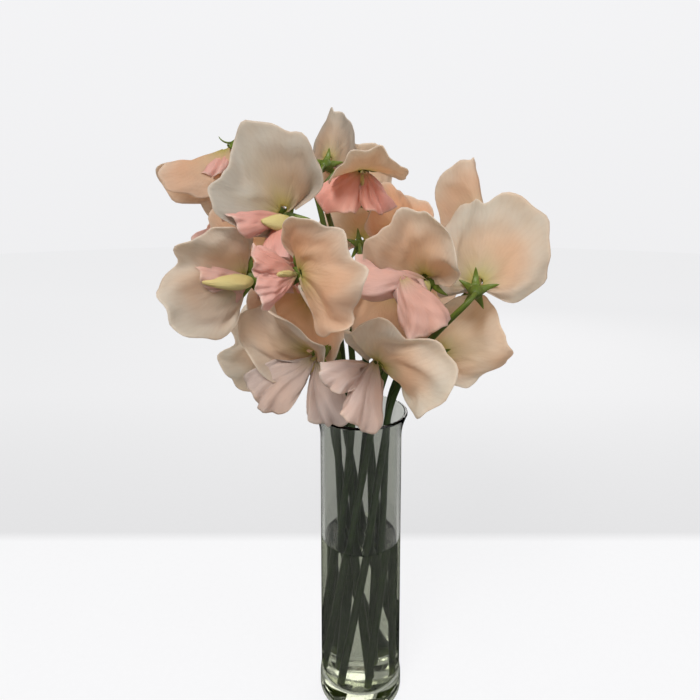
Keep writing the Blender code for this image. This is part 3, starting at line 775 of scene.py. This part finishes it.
def add_wing(blossom, wing, side, seed, finish, sizes, colours):
    """One wing: a rounded petal from its root to its tip, its sides bent back round the keel."""
    look = LOOKS.get(blossom.name, Look())
    columns = WING_GRID[0]
    mouth = np.array(blossom.at) * MM
    root, tip = mouth + np.array(wing.root) * MM, mouth + np.array(wing.tip) * MM
    length = np.linalg.norm(tip - root)
    ahead = (tip - root) / length
    az, el = math.radians(wing.azimuth), math.radians(wing.elevation)
    face = np.array([math.sin(az) * math.cos(el), -math.cos(az) * math.cos(el), math.sin(el)])
    level = np.cross(ahead, face)
    level /= np.linalg.norm(level)
    face = np.cross(level, ahead)
    reach = length * WING_OVERREACH
    across, along = fan(*WING_GRID, wing.half_angle, reach, WING_BLUNT, 0.0, WING_SCALLOP, seed)
    skew = 1 + WING_SKEW * np.linspace(-1, 1, columns) * (1 if side == "left" else -1)
    across, along = across * skew, along * skew
    local = bent(across, along, (wing.cup * 0.5,) * 2, wing.cup, WING_BOW, -WING_BOW, length)
    share, turn = petal_grid(*WING_GRID)
    local = ruffled(local, share, turn, -sizes.ruffle * 0.7, 0.6 * sizes.margin_roll, seed)
    grid = root + local @ np.array([level, ahead, face])
    # look.light[1] paints light or shade over the whole wing's colour, its pale margin too.
    base = mixed(colours.pale, colours.salmon, np.full_like(share, look.blush)) * look.light[1]
    patch = 0.5 + 0.5 * np.sin(2.3 * turn + seed) * np.cos(3 * share + seed)
    pale = np.array(colours.pale) * look.light[1]
    edge = mixed(base, pale, 0.5 * patch * np.clip((share - 0.45) / 0.55, 0, 1))
    # Painted highlight: a thin pale line along the wing's margin, where the edge catches the light.
    painted_rim_highlight = 0.6 * np.clip((share - 0.95) / 0.05, 0, 1)
    tints = mixed(mixed(edge, colours.claw, 0.7 * np.exp(-((share / 0.17) ** 2))), colours.painted_rim_highlight, painted_rim_highlight)
    uvs = np.stack([turn * 0.6, share], axis=-1)
    name, node = f"wing_{side}_{blossom.name}", "wings_" + blossom.name
    add_petal(name, grid, tints, uvs, sizes.petal_thickness, finish, "wing_pink", node)


def add_keel(blossom, wings, finish, colours):
    """The keel: a small boat-shaped pod between the wings, its tip turned up."""
    top = np.array(facing(blossom)[1])
    mouth = np.array(blossom.at) * MM
    tips = [np.array(wing.tip, float) for wing in wings]
    pod = LOOKS.get(blossom.name, Look()).pod
    leaning = sum(tip / np.linalg.norm(tip) for tip in tips)
    way = leaning + 0.6 * pod**2 * np.array(facing(blossom)[0])
    way /= np.linalg.norm(way)
    length = KEEL_LENGTH * blossom.size * pod
    t = np.linspace(0, 1, 17)
    arch = length * (0.30 * t**2 - 0.10 * np.sin(math.pi * t))
    line = mouth + np.outer(t * length, way) + np.outer(arch, top)
    swell = np.sin(np.pi * (0.05 + 0.92 * t)) ** 0.7
    widths = KEEL_HALF_WIDTH * swell * blossom.size * pod
    heights = KEEL_HALF_HEIGHT * swell * blossom.size * pod
    growth = Growth()
    tints = mixed(colours.claw, colours.keel, np.clip(t / 0.45, 0, 1))
    growth.add(loft(line, across_frames(line, np.cross(way, top)), widths, heights, 16), tints)
    node = "wings_" + blossom.name
    add_object("keel_" + blossom.name, growth.mesh("keel"), finish, "banner_cream", node)


# --- stems

def on_ring(degrees, radius, height):
    """A point round the vase's axis, its angle measured from +X."""
    turn = math.radians(degrees)
    return Vector((math.cos(turn) * radius, math.sin(turn) * radius, height))


def curve_between(start, start_way, end, end_way, steps):
    """Points on a cubic from start to end that leaves along start_way and arrives along end_way."""
    span = (end - start).length
    first, second = start + start_way * span * 0.4, end - end_way * span * 0.35
    found = []
    for step in range(steps + 1):
        t = step / steps
        a, b, c, d = (1 - t) ** 3, 3 * t * (1 - t) ** 2, 3 * t * t * (1 - t), t**3
        found.append(start * a + first * b + second * c + end * d)
    return found


def calyx_back(blossom):
    """The middle of a calyx's back, where its stalk ends."""
    return Vector(blossom.at) * MM - facing(blossom)[0] * CALYX_LENGTH


def vase_ends(stem):
    """Where a stem stands on the vase's floor, and where it leaves the vase."""
    reach = stem.reach * MM
    return on_ring(stem.foot, reach, STEM_FOOT_Z), on_ring(stem.neck, reach, NECK_Z)


def route_into(start, way, blossom, steps):
    """A curve from a point into a blossom's calyx."""
    forward = facing(blossom)[0]
    return curve_between(start, way, calyx_back(blossom) + forward * CALYX_ENTRY, forward, steps)


def head_route(stem, blossoms, steps):
    """The stem's line from the vase's neck to inside the calyx at its tip."""
    foot, neck = vase_ends(stem)
    return route_into(neck, (neck - foot).normalized(), blossoms[stem.carries[-1]], steps)


def vase_route(stem, steps):
    """The stretch of a stem that stands in the vase, bowed a little outwards between its ends."""
    foot, neck = vase_ends(stem)
    middle = (foot + neck) / 2
    outwards = Vector((middle.x, middle.y, 0))
    outwards = outwards.normalized() if outwards.length > MM else Vector((1, 0, 0))
    return [
        foot.lerp(neck, step / steps) + outwards * STEM_BOW * math.sin(math.pi * step / steps) ** 2
        for step in range(steps)
    ]


def side_route(stem, blossoms, name, steps):
    """From a node on the stem to inside the calyx of a side blossom."""
    coarse = head_route(stem, blossoms, ROUTE_STEPS)
    node = round(stem.node * ROUTE_STEPS)
    way = (coarse[node + 1] - coarse[node - 1]).normalized()
    return route_into(coarse[node], way, blossoms[name], steps)


def add_calyx(growth, blossom, seed, sizes, colours):
    """A small cup with five narrow pointed lobes bent back over it."""
    front, top, flank = (np.array(v) for v in facing(blossom))
    mouth = np.array(Vector(blossom.at) * MM)
    depth = np.array([-6.6, -6.0, -4.6, -2.8, -1.2, -0.2, 0.3]) * MM
    radius = np.array([0.9, 1.6, 2.3, 2.9, 3.1, 3.0, 2.4]) * MM
    line = mouth + np.outer(depth, front)
    frames = [(flank, top)] * len(depth)
    cup = mixed(colours.green, colours.bright, np.linspace(0.7, 1, len(depth)))
    growth.add(loft(line, frames, radius, radius, 15, CALYX_LOBES, 0.05), cup)
    t = np.linspace(0, 1, 9)
    for lobe in range(CALYX_LOBES):
        vary = math.sin(3.1 * lobe + seed)
        turn = 2 * math.pi * (lobe + 0.12 * vary) / CALYX_LOBES + math.pi / 2
        outward = top * math.sin(turn) + flank * math.cos(turn)
        level = np.cross(front, outward)
        length = sizes.lobe_length * (1 + 0.15 * vary)
        bend = 0.6 + (1.5 + 0.35 * vary) * t
        step = length / (len(t) - 1)
        out = 2.5 * MM + np.concatenate([[0], np.cumsum(np.sin(bend[:-1]) * step)])
        ahead = -1.0 * MM + np.concatenate([[0], np.cumsum(np.cos(bend[:-1]) * step)])
        line = mouth + np.outer(out, outward) + np.outer(ahead, front)
        widths = 1.75 * MM * (1 - t) ** 0.8 + 0.12 * MM
        heights = 0.42 * MM * (1 - t) ** 0.5 + 0.10 * MM
        tints = mixed(colours.bright, np.asarray(colours.bright) * 1.25, t)
        growth.add(loft(line, across_frames(line, level), widths, heights, 8), tints)


def add_stem(stem, blossoms, seed, finish, sizes, colours):
    """One stem with its side stalks and the calyx behind each of its blossoms."""
    growth = Growth()
    line = np.array([tuple(p) for p in vase_route(stem, 22) + head_route(stem, blossoms, 34)])
    t = np.linspace(0, 1, len(line))
    radius = sizes.stem_radius * (1 - 0.46 * np.clip((t - 0.35) / 0.65, 0, 1))
    green = mixed(colours.green, colours.bright, np.clip((t - 0.45) / 0.5, 0, 1))
    green[0] = np.asarray(colours.bright) * 1.6
    growth.add(loft(line, across_frames(line), radius, radius * 0.92, 16, 4, 0.07), green)
    for number, name in enumerate(stem.carries):
        if name != stem.carries[-1]:
            side = np.array([tuple(p) for p in side_route(stem, blossoms, name, 18)])
            share = np.linspace(0, 1, len(side))
            thin = SMALL_STALK_RADIUS - STALK_WAIST * np.sin(math.pi * share)
            tints = mixed(colours.green, colours.bright, 0.4 + 0.6 * share)
            growth.add(loft(side, across_frames(side), thin, thin, 10, 3, 0.05), tints)
        add_calyx(growth, blossoms[name], seed + number, sizes, colours)
    add_object("stalk_" + stem.name, growth.mesh(stem.name), finish, "stem_green", stem.name)


# --- vase and water

def braced(profile, margin=0.25 * MM):
    """The profile with points added just inside the ends of its long stretches, which keeps them flat
    under smooth shading."""
    found = [profile[0]]
    for (r0, z0), (r1, z1) in zip(profile, profile[1:]):
        length = math.hypot(r1 - r0, z1 - z0)
        if length > 4 * margin:
            for t in (margin / length, 1 - margin / length):
                found.append((r0 + (r1 - r0) * t, z0 + (z1 - z0) * t))
        found.append((r1, z1))
    return found


def turned(name, profile, sides):
    """A closed profile of (radius, height) pairs, turned round the vase's axis."""
    work = bmesh.new()
    rings = []
    for radius, height in braced(profile):
        if radius < 1e-6:
            rings.append([work.verts.new((0, 0, height))])
            continue
        ring = [on_ring(360 * side / sides, radius, height) for side in range(sides)]
        rings.append([work.verts.new(point) for point in ring])
    for below, ring in zip(rings, rings[1:]):
        for side in range(sides):
            corners = [below[side % len(below)], below[(side + 1) % len(below)]]
            corners += [ring[(side + 1) % len(ring)], ring[side % len(ring)]]
            work.faces.new(list(dict.fromkeys(corners)))
    bmesh.ops.recalc_face_normals(work, faces=work.faces)
    return written(name, work)


def arc(centre, radius, start, end, steps):
    """Points on an arc in the (radius, height) plane, in degrees from outwards."""
    return [
        (centre[0] + radius * math.cos(math.radians(a)), centre[1] + radius * math.sin(math.radians(a)))
        for a in np.linspace(start, end, steps + 1)
    ]


def vase_measures():
    """(foot radius, body radius, lip radius, height) of the frame's vase, in metres."""
    low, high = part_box("vase")
    lip = (high.x - low.x) / 2
    return lip - FOOT_INSET, lip - BODY_INSET, lip, high.z


def vase_profile():
    """The glass: inside from its floor up to the rounded lip, then down to the foot and its hollow."""
    foot, body, lip, height = vase_measures()
    inner, lip_inner = body - VASE_WALL, lip - VASE_WALL
    flare = np.linspace(0, 1, 10)[1:]
    lip_foot = height - LIP_HEIGHT
    reach = LIP_HEIGHT - LIP_BEAD
    profile = [(0, FLOOR_HEIGHT + 0.7 * MM), (inner * 0.5, FLOOR_HEIGHT + 0.35 * MM)]
    profile += arc((inner - CORNER_RADIUS, FLOOR_HEIGHT + CORNER_RADIUS), CORNER_RADIUS, -90, 0, 6)
    profile += [(inner, lip_foot)]
    profile += [(inner + (lip_inner - inner) * t * t, lip_foot + reach * t) for t in flare]
    profile += arc((lip - LIP_BEAD, height - LIP_BEAD), LIP_BEAD, 170, 10, 8)
    profile += [(body + (lip - body) * t * t, lip_foot + reach * t) for t in flare[::-1]]
    profile += [(body, lip_foot), (body, 14 * MM), (body + 0.1 * MM, 11 * MM), (foot - 0.25 * MM, 9 * MM)]
    profile += [(foot, 7.2 * MM), (foot, 2.2 * MM)]
    profile += arc((foot - FOOT_ROUND, FOOT_ROUND), FOOT_ROUND, 0, -90, 5)
    profile += [(foot * 0.7, 0), (foot * 0.62, 0.8 * MM), (0, 1.6 * MM)]
    return profile


def water_profile():
    """Water that wets the glass: a shade wider than the vase's bore, with a meniscus."""
    _foot, body, _lip, _height = vase_measures()
    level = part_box("water")[1].z
    inner = body - VASE_WALL
    wet = inner + 0.15 * MM
    profile = [(0, FLOOR_HEIGHT + 0.55 * MM), (inner * 0.5, FLOOR_HEIGHT + 0.2 * MM)]
    profile += arc((wet - CORNER_RADIUS, FLOOR_HEIGHT + 3.05 * MM), CORNER_RADIUS, -90, 0, 6)
    profile += [(wet, level + 1.1 * MM), (inner - 0.15 * MM, level + 1.0 * MM)]
    profile += [(inner - 0.6 * MM, level + 0.45 * MM), (inner - 1.4 * MM, level + 0.12 * MM)]
    profile += [(inner - 2.6 * MM, level), (0, level)]
    return profile


# --- stage

def add_camera():
    data = bpy.data.cameras.new("camera")
    data.sensor_width = SENSOR_WIDTH
    data.lens = LENS
    data.shift_y = CAMERA_SHIFT
    data.clip_start = 0.01
    camera = linked("camera", data)
    camera.location = CAMERA_PLACE
    camera.rotation_euler = (math.radians(90 - CAMERA_DIP), 0, 0)
    bpy.context.scene.camera = camera


def add_light(name, place, size, energy, tone):
    data = bpy.data.lights.new(name, "AREA")
    data.shape = "DISK"
    data.size = size
    data.energy = energy
    data.color = tone
    lamp = linked(name, data)
    lamp.location = place
    aim = Vector(LIGHT_TARGET) - Vector(place)
    lamp.rotation_euler = aim.to_track_quat("-Z", "Y").to_euler()
    lamp.visible_camera = False


def set_behind(obj):
    """Makes it part of the stage: it shows to the camera and through the glass, but lights nothing."""
    obj.visible_diffuse = False
    obj.visible_glossy = False


def add_dome():
    """A pale studio wall all round, lighter higher up: painted light from above."""
    work = bmesh.new()
    bmesh.ops.create_uvsphere(work, u_segments=64, v_segments=32, radius=DOME_RADIUS)
    dome = linked("dome", written("dome", work))
    nodes = Nodes("studio_wall")
    solid = nodes.node("TexCoord").outputs["Object"]
    height = nodes.node("SeparateXYZ", Vector=solid).outputs["Z"]
    # Painted light: the wall's grey rises with height.
    ramp = nodes.ramp(nodes.math("DIVIDE", height, DOME_RADIUS), DOME_TONES, DOME_BLUE)
    glow = nodes.node("Emission", Color=ramp)
    nodes.feed(nodes.output.inputs["Surface"], glow.outputs[0])
    dome.data.materials.append(nodes.material)
    dome.visible_shadow = False
    set_behind(dome)


def add_floor():
    """The tabletop that the vase stands on."""
    work = bmesh.new()
    bmesh.ops.create_circle(work, cap_ends=True, segments=96, radius=FLOOR_RADIUS)
    floor = linked("floor", written("floor", work))
    floor.data.materials.append(floor_finish())
    floor.location.z = -0.1 * MM
    set_behind(floor)


# --- operators

class SWEETPEA_OT_stage(bpy.types.Operator):
    """Set the camera, soft studio light and pale floor"""

    bl_idname = "sweetpea.stage"
    bl_label = "Stage"

    def execute(self, context):
        add_camera()
        for light in LIGHTS:
            add_light(*light)
        world = bpy.data.worlds.new("studio")
        world.use_nodes = True
        sky = world.node_tree.nodes["Background"]
        sky.inputs["Color"].default_value = SKY_COLOUR
        sky.inputs["Strength"].default_value = SKY_STRENGTH
        world.cycles_visibility.glossy = False
        context.scene.world = world
        context.scene.view_settings.view_transform = "Standard"
        add_dome()
        add_floor()
        return {"FINISHED"}


class SWEETPEA_OT_vase(bpy.types.Operator):
    """Turn the slim glass vase with its flared lip and thick foot"""

    bl_idname = "sweetpea.vase"
    bl_label = "Vase"

    def execute(self, context):
        colours = context.scene.sweetpea_colours
        finish = clear_finish("glass", colours.glass, GLASS_IOR, 45.0, 0.0002, 0.012)
        mesh = turned("vase", vase_profile(), context.scene.sweetpea_sizes.vase_sides)
        add_object("glass_vase", mesh, finish, "glass", "vase")
        return {"FINISHED"}


class SWEETPEA_OT_water(bpy.types.Operator):
    """Fill the vase with still water up to its level"""

    bl_idname = "sweetpea.water"
    bl_label = "Water"

    def execute(self, context):
        colours = context.scene.sweetpea_colours
        finish = clear_finish("water", colours.water, WATER_IOR, 70.0, 0.0002, 0.0)
        mesh = turned("water", water_profile(), context.scene.sweetpea_sizes.vase_sides)
        add_object("vase_water", mesh, finish, "water", "water")
        return {"FINISHED"}


class SWEETPEA_OT_stems(bpy.types.Operator):
    """Grow the cut stems with their side stalks and calyces"""

    bl_idname = "sweetpea.stems"
    bl_label = "Stems"

    def execute(self, context):
        sizes, colours = context.scene.sweetpea_sizes, context.scene.sweetpea_colours
        finish = stalk_finish()
        blossoms = {blossom.name: settled(blossom) for blossom in BLOSSOMS}
        for seed, stem in enumerate(STEMS):
            add_stem(stem, blossoms, seed, finish, sizes, colours)
        return {"FINISHED"}


class SWEETPEA_OT_banners(bpy.types.Operator):
    """Shape each blossom's banner, the big upright petal"""

    bl_idname = "sweetpea.banners"
    bl_label = "Banners"

    def execute(self, context):
        sizes, colours = context.scene.sweetpea_sizes, context.scene.sweetpea_colours
        finish = petal_finish("banner_petal", sizes.veins, BANNER_TRANSLUCENCY)
        for number, blossom in enumerate(BLOSSOMS):
            add_banner(settled(blossom), BANNER_SEED_STEP * number, finish, sizes, colours)
        return {"FINISHED"}


class SWEETPEA_OT_wings(bpy.types.Operator):
    """Shape each blossom's two wings and the keel that they clasp"""

    bl_idname = "sweetpea.wings"
    bl_label = "Wings and keels"

    def execute(self, context):
        sizes, colours = context.scene.sweetpea_sizes, context.scene.sweetpea_colours
        finish = petal_finish("wing_petal", sizes.veins, WING_TRANSLUCENCY)
        keel = petal_finish("keel_petal", sizes.veins, KEEL_TRANSLUCENCY)
        for number, blossom in enumerate(BLOSSOMS):
            there = settled(blossom)
            wings = WINGS.get(blossom.name) or usual_wings(there)
            for side, wing in zip(("left", "right"), wings):
                seed = WING_SEED_STEP * number + len(side)
                add_wing(there, wing, side, seed, finish, sizes, colours)
            add_keel(there, wings, keel, colours)
        return {"FINISHED"}


OPERATORS = (
    SWEETPEA_OT_stage,
    SWEETPEA_OT_vase,
    SWEETPEA_OT_water,
    SWEETPEA_OT_stems,
    SWEETPEA_OT_banners,
    SWEETPEA_OT_wings,
)


class SWEETPEA_PT_panel(bpy.types.Panel):
    """Lists the pieces in the order that they are made"""

    bl_idname = "SWEETPEA_PT_panel"
    bl_label = "Sweet Peas in a Vase"
    bl_space_type = "VIEW_3D"
    bl_region_type = "UI"
    bl_category = "Sweet Pea"

    def draw(self, context):
        for operator in OPERATORS:
            self.layout.operator(operator.bl_idname)
        for group in (context.scene.sweetpea_sizes, context.scene.sweetpea_colours):
            for name in group.__annotations__:
                self.layout.prop(group, name)


CLASSES = (SweetPeaSizes, SweetPeaColours, *OPERATORS, SWEETPEA_PT_panel)


def register():
    for item in CLASSES:
        bpy.utils.register_class(item)
    bpy.types.Scene.sweetpea_sizes = PointerProperty(type=SweetPeaSizes)
    bpy.types.Scene.sweetpea_colours = PointerProperty(type=SweetPeaColours)


def unregister():
    del bpy.types.Scene.sweetpea_colours
    del bpy.types.Scene.sweetpea_sizes
    for item in reversed(CLASSES):
        bpy.utils.unregister_class(item)


def main():
    register()
    bpy.ops.sweetpea.stage()
    bpy.ops.sweetpea.vase()
    bpy.ops.sweetpea.water()
    bpy.ops.sweetpea.stems()
    bpy.ops.sweetpea.banners()
    bpy.ops.sweetpea.wings()


if __name__ == "__main__":
    main()
